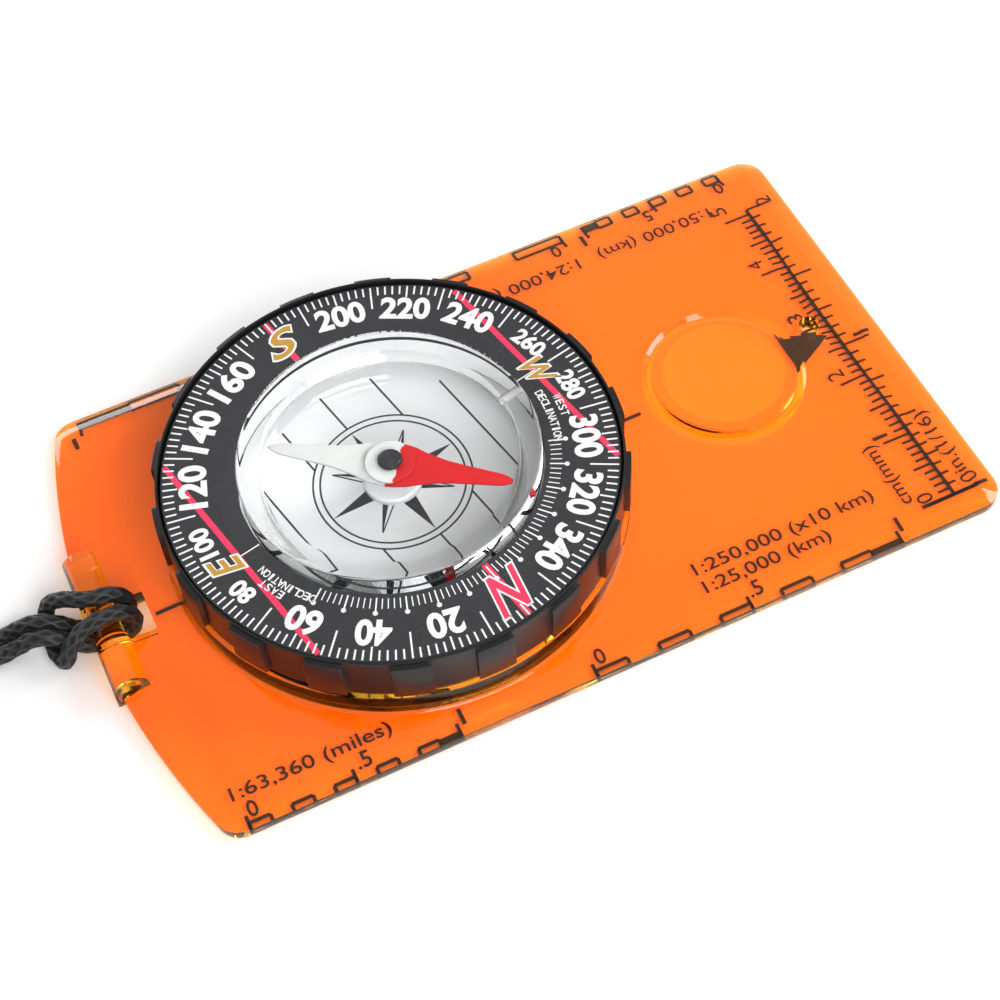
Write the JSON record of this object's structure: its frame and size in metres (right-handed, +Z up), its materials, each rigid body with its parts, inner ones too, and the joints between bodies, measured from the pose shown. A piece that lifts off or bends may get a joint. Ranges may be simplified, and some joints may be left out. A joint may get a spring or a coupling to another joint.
{
  "type": "baseplate compass",
  "caption": "Clear orange baseplate compass: ruler plate with map scales and magnifier, turning black dial housing, liquid capsule with a floating needle, and a doubled cord lanyard on a bar.",
  "frame": {"origin": "on the table under the middle of the plate and its lanyard bar (the cord left out)", "axes": "+X along the direction of travel, from the lanyard end to the straight front edge; +Y to the left of it; +Z up out of the dial"},
  "size_m": [0.1541, 0.062, 0.0143],
  "materials": {
    "orange_acrylic": "clear orange, polished",
    "housing_black": "satin black",
    "dial_black": "matt black, printed",
    "clear_acrylic": "clear, polished",
    "seal_rubber": "pale silicone",
    "white_plastic": "satin white",
    "pivot_steel": "ground",
    "spring_steel": "rolled",
    "needle_paint": "red and white gloss",
    "cap_black": "gloss black",
    "jewel": "polished",
    "cord": "black braid",
    "tie": "matt black"
  },
  "bodies": {
    "base": {"baseplate": "orange_acrylic", "friction_washer": "spring_steel", "lanyard_strand_a": "cord", "lanyard_strand_b": "cord", "lanyard_coil": "cord", "coil_tie": "tie", "lanyard_knot": "cord"},
    "housing": {"grip_ring": "housing_black", "dial_ring": "dial_black", "retaining_ring": "housing_black", "capsule_dome": "clear_acrylic", "capsule_floor": "clear_acrylic", "capsule_seal": "seal_rubber", "fill_plug": "white_plastic", "pivot_seat": "white_plastic", "pivot_pin": "pivot_steel"},
    "needle": {"needle_blade": "needle_paint", "needle_hub": "white_plastic", "jewel_cup": "jewel", "hub_cap": "cap_black"}
  },
  "joints": [
    {"name": "housing_turn", "type": "hinge", "parent": "base", "child": "housing", "pos_m": [-0.01325, 0, 0.0058], "axis": [0, 0, 1], "continuous": true},
    {"name": "needle_swing", "type": "hinge", "parent": "housing", "child": "needle", "pos_m": [-0.01325, 0, 0.01], "axis": [0, 0, 1], "continuous": true}
  ]
}
